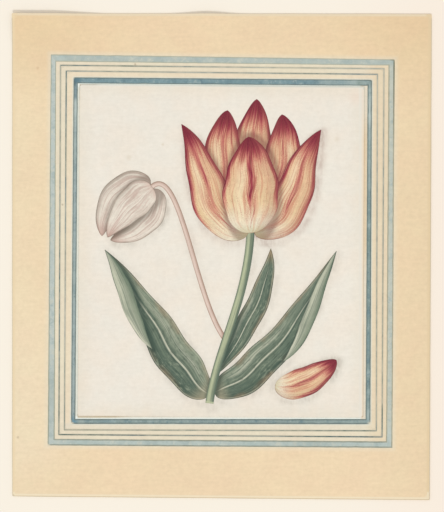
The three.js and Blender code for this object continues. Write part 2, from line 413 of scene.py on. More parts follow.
# How strongly each is smudged off from the paper.
SMUDGED = {
    "petal_front": 0.4, "petal_left": 0.5, "petal_right": 0.65, "fallen_petal": 0.65,
    "bud_front": 0.35, "bud_lower": 0.6, "bud_stalk": 0.25, "stem": 0.3,
    "leaf_left": 0.35, "leaf_right": 0.45, "leaf_back": 0.3,
}
SMUDGE_SHIFT = Vector((1.4 * MM, -1.4 * MM))
SMUDGE_SOFTNESS = 2.8 * MM
SHADOW_SHIFT = Vector((0.9 * MM, -0.6 * MM))
SHADOW_SOFTNESS = 2.4 * MM
SHADOW_STEPS = 60


def painted_shadow(spots, casters, shift, softness):
    """Strength, at each spot, of a soft dark wash beside the blades that cast it."""
    wash = np.zeros(len(spots))
    for name, strength in casters.items():
        blade = BLADES[name]
        nearest = np.full(len(spots), np.inf)
        for step in range(SHADOW_STEPS + 1):
            t = step / SHADOW_STEPS
            centre, _ = midline(blade, t)
            reach = sum(reaches(blade, t)) / 2
            away = spots - np.array(centre + shift)
            nearest = np.minimum(nearest, np.hypot(away[:, 0], away[:, 1]) - reach)
        soft = np.exp(-((np.maximum(nearest, 0) / softness) ** 2))
        wash = np.maximum(wash, strength * soft)
    return wash


BLADE_ROWS = 96
BLADE_COLUMNS = 28
# How much fuller the middle is, as a share of the layer step.
DOME = 0.3


def blade_piece(name, material):
    """A painted area as a thin closed skin, a little fuller in its middle."""
    blade = BLADES[name]
    paper = bpy.context.scene.drawing_paper
    height = paper.skin + blade.layer * paper.layer_step
    mesh = new_grid(BLADE_COLUMNS, BLADE_ROWS)
    rim = mesh.verts.layers.float.new("rim")
    for vert in mesh.verts:
        across, t = shares(vert)
        place = blade_place(blade, t, across)
        full = 1 - (2 * across - 1) ** 2
        vert.co = (*place, sheet_face(*place) + height + DOME * paper.layer_step * full)
        vert[rim] = rim_distance(blade, t, across)
    close_below(mesh, sheet_face)
    piece = finish_piece(mesh, f"painted_{name}", material, [f"painted_{name}"])
    casters = dict.fromkeys(PASSES_UNDER.get(name, ()), 1.0)
    store(piece, "wash", painted_shadow(places(piece), casters, SHADOW_SHIFT, SHADOW_SOFTNESS))
    return piece


# Shader recipes


class Recipe:
    """Adds nodes to one tree and joins them, so that a material reads from top to bottom."""

    def __init__(self, tree):
        self.tree = tree

    def feed(self, socket, value):
        if isinstance(value, bpy.types.NodeSocket):
            self.tree.links.new(value, socket)
        else:
            socket.default_value = value

    def node(self, kind, given=(), **settings):
        """Adds a node and feeds its inputs, which are given by name or number, or in order."""
        made = self.tree.nodes.new(kind)
        for key, value in settings.items():
            setattr(made, key, value)
        pairs = given.items() if isinstance(given, dict) else enumerate(given)
        for key, value in pairs:
            self.feed(made.inputs[key], value)
        return made

    def math(self, operation, *values, clamp=False):
        made = self.node("ShaderNodeMath", values, operation=operation, use_clamp=clamp)
        return made.outputs[0]

    def vector(self, operation, *values):
        made = self.node("ShaderNodeVectorMath", values, operation=operation)
        return made.outputs["Value" if operation == "LENGTH" else "Vector"]

    def times(self, first, *others):
        """All the values multiplied together."""
        for other in others:
            first = self.math("MULTIPLY", first, other)
        return first

    def highest(self, first, *others):
        """The greatest of the values."""
        for other in others:
            first = self.math("MAXIMUM", first, other)
        return first

    def scaled(self, value, gain, offset):
        """The value times the gain, with the offset added."""
        return self.math("MULTIPLY_ADD", value, gain, offset)

    def span(self, value, low, high, to_low=0.0, to_high=1.0):
        """A soft step of the value from low to high."""
        given = (value, low, high, to_low, to_high)
        return self.node("ShaderNodeMapRange", given, interpolation_type="SMOOTHSTEP").outputs[0]

    def span_mm(self, value, low, high, to_low=0.0, to_high=1.0):
        """The same for a length, whose low and high are in millimetres."""
        return self.span(value, low * MM, high * MM, to_low, to_high)

    def window(self, value, low, high, soft):
        """1 from low to high, fading out over the softness on both sides."""
        return self.times(self.span(value, low - soft, low), self.span(value, high + soft, high))

    def window_mm(self, value, low, high, soft):
        """The same for a length, all in millimetres."""
        return self.window(value, low * MM, high * MM, soft * MM)

    def ramp(self, value, stops):
        """Numbers along the value, given as places and levels, with straight runs between."""
        made = self.node("ShaderNodeValToRGB", (value,))
        points = made.color_ramp.elements
        points.remove(points[1])
        for i, (place, level) in enumerate(stops):
            point = points[0] if i == 0 else points.new(place)
            point.position = place
            point.color = (level, level, level, 1)
        return made.outputs[0]

    def mix(self, factor, first, second):
        given = {0: factor, 6: first, 7: second}
        return self.node("ShaderNodeMix", given, data_type="RGBA").outputs[2]

    def lay(self, ground, paint, mask, strength=1.0):
        """The paint laid over the ground where the mask shows."""
        return self.mix(self.math("MULTIPLY", mask, strength, clamp=True), ground, paint)

    def shade(self, paint, tone):
        """The paint made lighter or darker by a tone round 1."""
        given = {0: paint, "Scale": tone}
        return self.node("ShaderNodeVectorMath", given, operation="SCALE").outputs[0]

    def cloud(self, place, scale, detail=3, roughness=0.5, warp=0.0):
        """Soft noise, of that many turns to the unit of the place."""
        given = {
            "Vector": place, "Scale": scale, "Detail": detail, "Roughness": roughness,
            "Distortion": warp,
        }
        return self.node("ShaderNodeTexNoise", given).outputs["Fac"]

    def stretched(self, place, scale, location=(0, 0, 0)):
        given = {"Vector": place, "Scale": scale, "Location": location}
        return self.node("ShaderNodeMapping", given).outputs[0]

    def parts(self, vector):
        return tuple(self.node("ShaderNodeSeparateXYZ", (vector,)).outputs)

    def whole(self, x, y, z=0.0):
        return self.node("ShaderNodeCombineXYZ", (x, y, z)).outputs[0]

    def map_place(self):
        return self.node("ShaderNodeUVMap", uv_map="UVMap").outputs[0]

    def attribute(self, name):
        return self.node("ShaderNodeAttribute", attribute_name=name).outputs["Fac"]

    def use(self, build, **values):
        """Places the shared effect that build makes at its first use, and returns its outputs."""
        name = build.__name__.replace("_", " ").title()
        group = bpy.data.node_groups.get(name) or build(name)
        made = self.node("ShaderNodeGroup", node_tree=group)
        for key, value in values.items():
            self.feed(made.inputs[key.title()], value)
        return made.outputs


def new_group(name, vectors, numbers, results):
    """An empty shared effect, its recipe and the sockets of its two ends."""
    tree = bpy.data.node_groups.new(name, "ShaderNodeTree")
    sockets = (
        ("INPUT", "NodeSocketVector", vectors),
        ("INPUT", "NodeSocketFloat", numbers),
        ("OUTPUT", "NodeSocketFloat", results),
    )
    for end, kind, labels in sockets:
        for label in labels:
            tree.interface.new_socket(name=label, in_out=end, socket_type=kind)
    do = Recipe(tree)
    return tree, do, do.node("NodeGroupInput").outputs, do.node("NodeGroupOutput").inputs


def paper_texture(name):
    """Old rag paper: slow drifts of tone and hue, soft mottling, lying fibres and grain."""
    tree, do, given, out = new_group(
        name, ["Place"], ["Strength"], ["Cloud", "Hue", "Tone", "Height"]
    )
    place = given["Place"]
    do.feed(out["Cloud"], do.span(do.cloud(place, 15), 0.3, 0.7))
    elsewhere = do.stretched(place, (1, 1, 1), (0.7, 0.3, 0))
    do.feed(out["Hue"], do.span(do.cloud(elsewhere, 42, roughness=0.6), 0.32, 0.68))
    mottle = do.cloud(place, 360, detail=4, roughness=0.62)
    fibre = do.cloud(do.stretched(place, (0.16, 1, 1)), 520, roughness=0.6, warp=0.5)
    uneven = do.math("SUBTRACT", do.scaled(fibre, 0.5, mottle), 0.75)
    do.feed(out["Tone"], do.scaled(uneven, given["Strength"], 1.0))
    grain = do.cloud(place, 2600, roughness=0.7)
    do.feed(out["Height"], do.scaled(fibre, 0.6, grain))
    return tree


def scattered_spots(name):
    """Small round age spots, few of the cells holding one."""
    tree, do, given, out = new_group(name, ["Place"], ["Cells", "Radius", "Share"], ["Mask"])
    ragged = do.scaled(do.cloud(given["Place"], 900), 0.8, 0.6)
    grid = {"Vector": given["Place"], "Scale": given["Cells"]}
    cell = do.node("ShaderNodeTexVoronoi", grid, feature="F1")
    chance, size, _ = do.parts(cell.outputs["Color"])
    radius = do.times(given["Radius"], ragged, size)
    disc = do.span(cell.outputs["Distance"], radius, 0.0)
    do.feed(out["Mask"], do.times(disc, do.math("LESS_THAN", chance, given["Share"])))
    return tree


def stain(name):
    """One soft ragged stain round a chosen place."""
    tree, do, given, out = new_group(name, ["Place", "Centre"], ["Radius"], ["Mask"])
    flat = do.vector("MULTIPLY", do.vector("SUBTRACT", given["Place"], given["Centre"]), (1, 1, 0))
    ragged = do.scaled(do.cloud(given["Place"], 700), 1.2, 0.4)
    reach = do.times(given["Radius"], ragged)
    do.feed(out["Mask"], do.span(do.vector("LENGTH", flat), reach, 0.0))
    return tree


def brush_lines(name):
    """Strokes that run up a blade: broad streaks, drawn lines, hairs, feathers leaning outward."""
    tree, do, given, out = new_group(
        name, ["Map"], ["Seed", "Broad", "Fine"], ["Streak", "Line", "Hair", "Feather"]
    )
    across, along, _ = do.parts(given["Map"])
    seed = given["Seed"]
    wander = do.cloud(do.whole(do.times(along, 3.0), seed), 1.0, detail=1)
    swayed = do.scaled(do.math("SUBTRACT", wander, 0.5), 0.05, across)
    slow = do.times(along, 1.6)
    broad = do.whole(do.times(swayed, given["Broad"]), slow, seed)
    do.feed(out["Streak"], do.cloud(broad, 1.0, detail=4, roughness=0.62))
    fine = do.whole(do.times(swayed, given["Fine"]), slow, seed)
    do.feed(out["Line"], do.span(do.cloud(fine, 1.0, detail=1), 0.5, 0.63))
    hairs = do.whole(do.times(swayed, given["Fine"], 2.6), do.times(along, 5.0), seed)
    do.feed(out["Hair"], do.span(do.cloud(hairs, 1.0, detail=1), 0.5, 0.66))
    side = do.scaled(across, 2.0, -1.0)
    leaning = do.scaled(along, -0.55, do.math("ABSOLUTE", side))
    half = do.scaled(do.math("SIGN", side), 3.1, do.times(along, 1.8))
    feather = do.whole(do.times(leaning, given["Fine"], 0.62), half, seed)
    do.feed(out["Feather"], do.cloud(feather, 1.0, roughness=0.6))
    return tree


def pigment(name):
    """How a wash dries: grain in the hollows of the paper and a darker rim."""
    tree, do, given, out = new_group(name, ["Place"], ["Rim"], ["Tone", "Edge", "Height"])
    grain = do.cloud(given["Place"], 1500, roughness=0.7)
    pool = do.cloud(given["Place"], 190, detail=4, roughness=0.6)
    mixed = do.scaled(grain, 0.16, do.times(pool, 0.24))
    do.feed(out["Tone"], do.math("ADD", mixed, 0.8))
    do.feed(out["Edge"], do.span_mm(given["Rim"], 0.8, 0.1))
    do.feed(out["Height"], do.scaled(pool, 0.5, grain))
    return tree


class Finish(Recipe):
    """The recipe of one matt material. Its base is its colour so far, which each coat covers."""

    def __init__(self, name, roughness, gloss=0.25):
        self.material = bpy.data.materials.new(name)
        self.material.use_nodes = True
        super().__init__(self.material.node_tree)
        self.shader = self.tree.nodes["Principled BSDF"]
        self.shader.inputs["Roughness"].default_value = roughness
        self.shader.inputs["Specular IOR Level"].default_value = gloss
        self.place = self.node("ShaderNodeTexCoord").outputs["Object"]
        self.base = None

    def coat(self, paint, mask, strength=1.0):
        """Lays the paint over the base where the mask shows."""
        self.base = self.lay(self.base, paint, mask, strength)

    def tone(self, value):
        """Makes the whole base lighter or darker."""
        self.base = self.shade(self.base, value)

    def stains(self, marks):
        """Single marks: each has its place and radius in millimetres, its colour and strength."""
        for x, y, radius, paint, strength in marks:
            centre = (x * MM, y * MM, 0)
            mark = self.use(stain, place=self.place, centre=centre, radius=radius * MM)
            self.coat(paint, mark["Mask"], strength)

    def spots(self, paint, strength, cells, radius, share):
        """Age spots scattered over the whole of it."""
        found = self.use(scattered_spots, place=self.place, cells=cells, radius=radius, share=share)
        self.coat(paint, found["Mask"], strength)

    def aged(self, texture, warm, warmth, cool, coolness):
        """The paper's patches of warmer and cooler hue, and its slow drift of tone."""
        self.coat(warm, texture["Hue"], warmth)
        self.coat(cool, self.math("SUBTRACT", 1.0, texture["Hue"]), coolness)
        self.tone(self.scaled(texture["Cloud"], 0.02, 0.99))

    def done(self, height=None, depth=0.0):
        """Hands the base to the shader, with a grain of that depth in millimetres."""
        self.feed(self.shader.inputs["Base Color"], self.base)
        if height is not None:
            given = {"Strength": 1.0, "Distance": depth * MM, "Height": height}
            self.feed(self.shader.inputs["Normal"], self.node("ShaderNodeBump", given).outputs[0])
        return self.material


# Paper

CARD_STAINS = (
    (-146.3, -129.5, 1.6, tint(120, 104, 82), 0.3),
    (-132.1, 135.4, 1.7, tint(196, 160, 118), 0.34),
    (-62.3, 138.1, 1.2, tint(150, 126, 96), 0.55),
    (-114.4, 37.4, 1.2, tint(140, 120, 92), 0.45),
)
PAPER_STAINS = (
    (-66.8, 71.2, 3.2, tint(206, 186, 150), 0.2),
    (82.2, 84.4, 3.2, tint(200, 180, 140), 0.17),
    (-42.4, 80.6, 1.5, tint(204, 186, 150), 0.3),
    (96.0, 114.0, 9.0, tint(234, 212, 194), 0.4),
)


def card_finish():
    """Tan mount: browner top corners, toned round the ruled lines, darker along its outer edge."""
    tones = bpy.context.scene.paper_colours
    do = Finish("Tan Card", 0.92)
    x, y, _ = do.parts(do.place)
    paper = do.use(paper_texture, place=do.place, strength=0.2)

    do.base = do.mix(do.span_mm(x, -150, -95), tones.card_left, tones.card)
    do.coat(tones.card_right, do.span_mm(x, 95, 150))
    low_left = do.times(do.span_mm(x, -95, -140), do.span_mm(y, 0, -100), do.span_mm(y, -165, -135))
    do.coat(tint(240, 226, 198), low_left, 0.4)
    outward = do.span_mm(do.math("ABSOLUTE", x), 40, 145, 0.25, 1.0)
    do.coat(tones.card_corner, do.times(do.span_mm(y, 95, 170), outward), 0.9)
    ruled = do.attribute("ruled")
    do.coat(tones.ground, do.span_mm(ruled, -4, 2))
    within_lines = do.span_mm(ruled, 11, 13)
    do.coat(tones.ground_inner, within_lines)
    do.coat(tones.ground_foot, do.times(within_lines, do.span_mm(y, -118.5, -120.5)))
    toned = do.times(do.span_mm(ruled, -2, 2), do.span_mm(x, 100, 112))
    do.coat(tones.ground_right, toned, 0.9)
    do.aged(paper, tint(231, 200, 165), 0.14, tint(232, 220, 176), 0.12)

    washed = do.attribute("washed")
    do.coat(tint(218, 220, 208), do.span_mm(washed, -1.3, -0.1), 0.7)
    framed = do.span_mm(washed, 2.4, 2.9)
    do.coat(tint(224, 226, 214), framed, 0.85)
    # A painted highlight: a whiter strip in the gutter along the drawing sheet's top and foot.
    gutter_highlight = do.highest(do.span_mm(y, 121.2, 122.2), do.span_mm(y, -114, -115))
    do.coat(tint(238, 244, 237), do.times(framed, gutter_highlight), 0.9)
    # A painted shade line on the card beside the drawing sheet's foot, browner towards the left.
    beside = do.times(do.span_mm(y, -114, -115), do.span_mm(washed, 4.2, 4.7))
    foot_shade_line_tone = do.mix(do.span_mm(x, -60, -85), tint(226, 222, 208), tint(204, 188, 154))
    do.coat(foot_shade_line_tone, beside, 0.85)
    gutter = do.times(framed, do.span_mm(x, 98.5, 100.5))
    do.coat(tint(229, 218, 197), gutter, 0.95)
    stained = do.times(gutter, do.window_mm(y, 12, 82, 30))
    do.coat(tint(227, 206, 173), stained, 0.85)
    # A painted shadow line on the card just outside the drawing sheet's right edge.
    sheet_edge_shadow = do.times(do.window_mm(x, 101.7, 102.4, 0.3), do.span_mm(y, 20, 80), gutter)
    sheet_edge_shadow_tone = do.mix(do.span_mm(y, 80, 105), tint(216, 190, 154), tint(208, 200, 182))
    do.coat(sheet_edge_shadow_tone, sheet_edge_shadow, 0.75)

    for line in ("outer_ruled", "inner_ruled"):
        bled = do.window_mm(do.attribute(line), -0.3, 1.2, 0.35)
        do.coat(tint(96, 116, 110), bled, 0.15)

    do.tone(paper["Tone"])
    do.spots(tones.foxing, 0.45, cells=42.0, radius=0.07, share=0.12)
    do.spots(tint(140, 116, 90), 0.55, cells=75.0, radius=0.05, share=0.06)
    do.stains(CARD_STAINS)

    edge = do.attribute("edge")
    at_top, at_left = do.span_mm(y, 170, 172), do.span_mm(x, -145.5, -147.5)
    at_right, at_foot = do.span_mm(x, 145.5, 147.5), do.span_mm(y, -168, -169.5)
    # Strips along three edges: the paler, greyer one at the top is a painted highlight where the edge
    # catches the light; those at the left and right are darker tones of the card.
    top_highlight_and_side_tones = (
        (tint(231, 216, 187), at_top, 2.2, 1.2, 0.8),
        (tint(233, 212, 174), at_left, 3.0, 1.0, 0.7),
        (tint(226, 203, 165), at_right, 3.5, 1.2, 0.8),
    )
    for paint, side, begins, full, strength in top_highlight_and_side_tones:
        do.coat(paint, do.times(side, do.span_mm(edge, begins, full)), strength)
    pale = do.times(at_foot, do.window_mm(edge, 1.0, 1.8, 0.5))
    do.coat(tint(241, 228, 200), pale, 0.7)
    # A thin darker line along the outer edge, left off at the top.
    cut = do.times(do.span_mm(edge, 0.8, 0.35), do.span(at_top, 1.0, 0.0))
    do.coat(do.mix(at_left, tint(196, 182, 152), tint(208, 196, 170)), cut, 0.8)

    return do.done(paper["Height"], 0.03)


def drawing_paper_finish():
    """Off-white drawing paper, toned at its edges, with soft smudges beside the painted areas."""
    tones = bpy.context.scene.paper_colours
    do = Finish("Drawing Paper", 0.9)
    x, y, _ = do.parts(do.place)
    paper = do.use(paper_texture, place=do.place, strength=0.16)

    edge = do.attribute("edge")
    do.base = do.lay(tones.paper, tones.paper_edge, do.span_mm(edge, 14, 0), 0.6)
    do.aged(paper, tint(238, 226, 206), 0.3, tint(230, 230, 216), 0.25)
    do.tone(paper["Tone"])
    do.spots(tint(208, 190, 150), 0.35, cells=36.0, radius=0.06, share=0.16)
    do.stains(PAPER_STAINS)

    patchy = do.span(do.cloud(do.place, 48, roughness=0.6), 0.36, 0.64, 0.25, 1.0)
    hatched = do.cloud(do.stretched(do.place, (1, 0.35, 1)), 520, roughness=0.7)
    smudge = do.times(do.attribute("wash"), patchy, do.span(hatched, 0.3, 0.62, 0.5, 1.0))
    rosy = do.times(do.span_mm(x, -45, -25), do.span_mm(y, -5, 15))
    do.coat(do.mix(rosy, tint(172, 164, 150), tint(182, 158, 146)), smudge)

    do.coat(tint(232, 227, 215), do.window_mm(x, 98.5, 99.8, 0.8), 0.6)
    warm = do.times(do.span_mm(x, 99.8, 100.6), do.span_mm(y, 120, 80, 0.3, 1.0))
    do.coat(tint(238, 221, 197), warm, 0.7)
    thin = do.span_mm(edge, 0.6, 0.15)
    cool = do.times(do.span_mm(edge, 1.6, 0.3), do.span_mm(y, 119.5, 120.5))
    do.coat(tint(226, 226, 216), cool, 0.75)
    grey = do.times(do.span_mm(edge, 1.1, 0.5), do.span_mm(y, 119.5, 120.5))
    do.coat(tint(206, 206, 192), do.times(grey, do.span_mm(x, -30, 0)), 0.6)
    worn = do.span(do.cloud(do.place, 30, detail=2), 0.35, 0.65, 0.55, 1.0)
    foot = do.times(do.span_mm(y, -112, -113), do.span_mm(x, -20, -85, 0.04, 1.0))
    right = do.times(do.span_mm(x, 99.5, 100.5), do.span_mm(y, 110, -20, 0.0, 0.65))
    left = do.span_mm(x, -100.5, -101.2, 0.0, 0.3)
    top_left = do.times(do.span_mm(x, -86, -92), do.span_mm(y, 108, 116), 0.8)
    sides = do.highest(right, left, top_left)
    marked = do.times(thin, do.highest(foot, sides), worn)
    do.coat(tint(180, 156, 120), marked)

    return do.done(paper["Height"], 0.025)


def paste_finish():
    do = Finish("Dried Paste", 0.7)
    paper = do.use(paper_texture, place=do.place, strength=0.3)
    do.base = do.mix(paper["Hue"], tint(206, 184, 140), tint(226, 208, 170))
    do.tone(paper["Tone"])
    return do.done()


# Border


def by_side(do, top, right, bottom, left):
    """A colour for each side of the border, whose map runs clockwise from the top left."""
    turn, _, _ = do.parts(do.map_place())
    found = top
    for corner, paint in ((0.25, right), (0.5, bottom), (0.75, left)):
        found = do.mix(do.span(turn, corner - 0.005, corner + 0.005), found, paint)
    return found


# The tones that the washes gather to and thin to.
PALE_POOL = tint(170, 187, 182)
PALE_GATHERED = tint(158, 172, 166)
PALE_THIN = tint(186, 200, 196)
DEEP_DARKEST = tint(66, 92, 98)
DEEP_GATHERED = tint(92, 121, 132)
DEEP_POOL = tint(119, 147, 152)
DEEP_OLIVE = tint(112, 134, 124)
DEEP_CLEAR = tint(104, 146, 164)
DEEP_THIN = tint(168, 182, 177)
DEEP_BARE = tint(191, 202, 196)

PALE_BAND_POOLS = (
    (122.0, 139.6, 5.0, PALE_POOL, 0.35),
    (-116.5, 142.5, 6.0, PALE_THIN, 0.45),
    (60.0, 140.2, 9.0, PALE_POOL, 0.5),
    (-100.0, -134.0, 9.0, PALE_POOL, 0.5),
    (20.0, -135.2, 12.0, PALE_POOL, 0.5),
    (-122.8, -98.0, 38.0, PALE_GATHERED, 0.42),
    (64.0, -134.4, 20.0, PALE_GATHERED, 0.52),
    (119.6, -128.0, 10.0, PALE_THIN, 0.5),
)
DEEP_BAND_POOLS = (
    (-105.2, 126.9, 7.0, DEEP_GATHERED, 0.92),
    (-104.8, 106.0, 20.0, DEEP_BARE, 0.77),
    (-105.2, 78.0, 22.0, DEEP_THIN, 0.75),
    (-105.6, 120.0, 5.0, DEEP_GATHERED, 0.5),
    (-105.0, 115.5, 4.5, DEEP_GATHERED, 0.6),
    (-107.2, 124.6, 3.6, DEEP_DARKEST, 0.8),
    (-107.0, -118.2, 6.0, DEEP_CLEAR, 0.85),
    (-100.5, -118.4, 6.0, DEEP_BARE, 0.25),
    (96.0, 124.6, 24.0, DEEP_THIN, 0.7),
    (104.2, 124.4, 6.0, DEEP_OLIVE, 0.2),
    (98.5, 124.6, 4.0, DEEP_OLIVE, 0.5),
    (14.0, 125.4, 12.0, DEEP_POOL, 0.75),
    (76.0, 124.9, 13.0, DEEP_THIN, 0.55),
    (106.4, 102.0, 30.0, DEEP_BARE, 0.88),
    (105.8, 62.0, 34.0, DEEP_THIN, 0.65),
    (105.4, 12.0, 11.0, DEEP_OLIVE, 0.3),
    (104.6, -60.0, 12.0, DEEP_POOL, 0.42),
    (104.8, -114.0, 12.0, DEEP_THIN, 0.8),
    (104.6, -118.2, 4.0, DEEP_POOL, 0.45),
    (84.0, -118.2, 18.0, DEEP_THIN, 0.22),
    (-84.0, -118.0, 14.0, DEEP_CLEAR, 0.19),
    (-106.8, -84.0, 14.0, DEEP_THIN, 0.42),
    (-106.2, -14.0, 28.0, DEEP_THIN, 0.6),
    (-105.6, 40.0, 12.0, DEEP_THIN, 0.22),
)

# The card's tone round the border's lines.
BORDER_GROUND = tint(232, 221, 196)
# How wide the bands' ink outlines spread, against the turn round the border.
INK_WIDTHS = (
    (0.0, 0.8), (0.245, 0.8), (0.255, 0.95), (0.495, 0.85),
    (0.505, 1.0), (0.745, 1.0), (0.755, 0.9), (1.0, 0.8),
)
WORN_CORNERS = (
    (-108.6, -120.1, 3.4, BORDER_GROUND, 1.0),
    (106.8, -120.3, 3.6, BORDER_GROUND, 1.0),
    (-106.7, 129.0, 1.7, BORDER_GROUND, 1.0),
    (107.8, 127.2, 1.4, BORDER_GROUND, 1.0),
    (124.1, 141.9, 1.5, BORDER_GROUND, 1.0),
    (-125.3, -135.5, 2.4, BORDER_GROUND, 1.0),
)


def washed_band_finish(name, washes, streaks, inks, fade, pools, rim_pool=()):
    """A wash brushed unevenly between two ink lines. Washes and inks go clockwise from the top.

    fade is the tone that the rim thins out to, and how much. rim_pool says where, round the
    border, dark colour has gathered along the outer rim.
    """
    darker, lighter = streaks
    do = Finish(name, 0.88)
    rim = do.attribute("rim")
    dried = do.use(pigment, place=do.place, rim=rim)
    do.base = by_side(do, *washes)
    brushed = do.cloud(do.place, 110, detail=4, roughness=0.68)
    do.coat(darker, do.span(brushed, 0.5, 0.68), 0.75)
    do.coat(lighter, do.span(brushed, 0.48, 0.32), 0.65)
    dabbed = do.cloud(do.place, 330, roughness=0.6, warp=0.6)
    do.coat(darker, do.span(dabbed, 0.54, 0.7), 0.75)
    do.coat(lighter, do.span(dabbed, 0.46, 0.3), 0.65)
    do.stains(pools)
    do.tone(dried["Tone"])
    turn, across, _ = do.parts(do.map_place())
    full = do.ramp(turn, INK_WIDTHS)
    wavered = do.scaled(do.cloud(do.place, 140), 0.7 * MM, rim)
    lined = do.span_mm(do.math("DIVIDE", wavered, full), 1.7, 1.0)
    do.coat(by_side(do, *inks), lined, do.span(brushed, 0.3, 0.7, 0.7, 1.0))
    faded, strength = fade
    do.coat(faded, do.span_mm(wavered, 0.6, 0.3), strength)
    if rim_pool:
        pooled = do.times(do.span(across, 0.3, 0.1), do.ramp(turn, rim_pool))
        do.coat(tint(88, 98, 82), pooled, 0.85)
    do.stains(WORN_CORNERS)
    return do.done(dried["Height"], 0.02)


def line_finish(name, inks, fullness):
    """Ruled ink. Fullness gives how well it took, at turns of the border from the top left."""
    do = Finish(name, 0.85)
    turn, across, _ = do.parts(do.map_place())
    flow = do.cloud(do.place, 120, detail=4, roughness=0.65)
    turned = do.span(do.cloud(do.place, 24, detail=2), 0.42, 0.6)
    inked = do.lay(by_side(do, *inks), tint(92, 104, 82), turned, 0.5)
    took = do.times(do.ramp(turn, fullness), do.span(flow, 0.3, 0.7, 0.64, 1.02))
    soft = do.window(across, 0.25, 0.75, 0.25)
    do.base = do.lay(BORDER_GROUND, inked, took, do.scaled(soft, 0.3, 0.7))
    return do.done(flow, 0.01)


# Bodycolour


class BladePaint(Finish):
    """The recipe of one painted blade, with its strokes, its rim and its pigment's grain.

    side runs from -1 at the blade's left to 1 at its right, off is the distance from the
    midline, and along runs from 0 at the foot to 1 at the tip. covered is where what lies over
    the blade shades it.
    """

    def __init__(self, name, seed, broad, fine):
        super().__init__(name, 0.8)
        chart = self.map_place()
        lines = self.use(brush_lines, map=chart, seed=seed, broad=broad, fine=fine)
        self.streak, self.line, self.hair, self.feather = lines
        self.rim = self.attribute("rim")
        self.covered = self.attribute("wash")
        self.dried = self.use(pigment, place=self.place, rim=self.rim)
        across, self.along, _ = self.parts(chart)
        self.side = self.scaled(across, 2.0, -1.0)
        self.off = self.math("ABSOLUTE", self.side)
        strokes_at = self.whole(self.times(self.side, 8.0), self.times(self.along, 24.0), seed)
        self.dabs = self.cloud(strokes_at, 1.0, roughness=0.6)

    def streaks(self, low, high):
        """The broad streaks, as a soft step of their tone."""
        return self.span(self.streak, low, high)

    def ridge(self, centre, width):
        """A soft stripe along the blade, centred at that side."""
        away = self.math("ABSOLUTE", self.math("SUBTRACT", self.side, centre))
        return self.span(away, width, 0.0)

    def dry(self, outline, strength):
        """Draws the outline, heavier and lighter along its way, and lets the pigment dry."""
        weight = self.span(self.cloud(self.place, 90), 0.34, 0.64, 0.3, 1.15)
        self.coat(outline, self.times(self.dried["Edge"], weight), strength)
        dabbed = self.scaled(self.dabs, 0.32, -0.16)
        self.tone(self.math("ADD", self.dried["Tone"], dabbed))
        return self.done(self.dried["Height"], 0.03)


def petal_finish(name, seed, flame, shadow_side):
    """A striped petal: cream foot, yellow to peach body, crimson tip, flame and hatching."""
    tones = bpy.context.scene.flower_colours
    do = BladePaint(name, seed, 7.0, 24.0)
    along, side = do.along, do.side
    do.base = do.mix(do.span(along, 0.04, 0.4), tones.cream, tones.yellow)
    do.coat(tones.peach, do.span(along, 0.35, 0.95), 0.6)
    do.coat(tones.peach, do.streaks(0.44, 0.66), 0.6)
    lit = do.times(do.ridge(-0.38 * shadow_side, 0.36), do.window(along, 0.2, 0.66, 0.2))
    do.coat(tint(246, 230, 194), lit, 0.55)

    margin = do.times(do.span_mm(do.rim, 4.6, 0.3), do.span(along, 0.08, 0.6))
    centre = do.times(do.span(do.off, 0.3, 0.0), do.span(along, 0.05, 0.5), 0.85 * flame)
    tip = do.span(along, 0.66, 0.97)
    field = do.highest(margin, centre, tip)
    feathered = do.scaled(do.feather, 1.3, do.times(field, 0.8))
    do.coat(tones.salmon, do.span(feathered, 0.74, 1.08), 0.85)
    do.coat(tones.crimson, do.span(feathered, 1.04, 1.3))
    do.coat(tones.deep_crimson, do.span(feathered, 1.26, 1.5), 0.9)
    dots = do.span(do.cloud(do.place, 1300, detail=2), 0.5, 0.6)
    do.coat(tint(170, 78, 80), do.times(dots, do.span(feathered, 0.5, 0.9)), 0.4)

    hatched = do.times(do.line, do.span(along, 0.06, 0.3))
    do.coat(tint(196, 112, 92), hatched, 0.5)
    drawn = do.times(do.line, do.span(feathered, 0.8, 1.15))
    do.coat(tones.deep_crimson, drawn, 0.5)
    paler = do.times(do.hair, do.window(along, 0.4, 0.6, 0.35))
    do.coat(tint(240, 196, 160), paler, 0.35)
    do.coat(tones.deep_crimson, do.span(along, 0.8, 1.0), 0.55)

    do.coat(tint(150, 88, 80), do.span(side, 0.3 * shadow_side, 1.0 * shadow_side), 0.34)
    do.coat(tint(116, 62, 60), do.covered, 0.6)
    do.coat(tint(178, 176, 122), do.span(along, 0.13, 0.0), 0.4)
    return do.dry(tones.deep_crimson, 0.55)


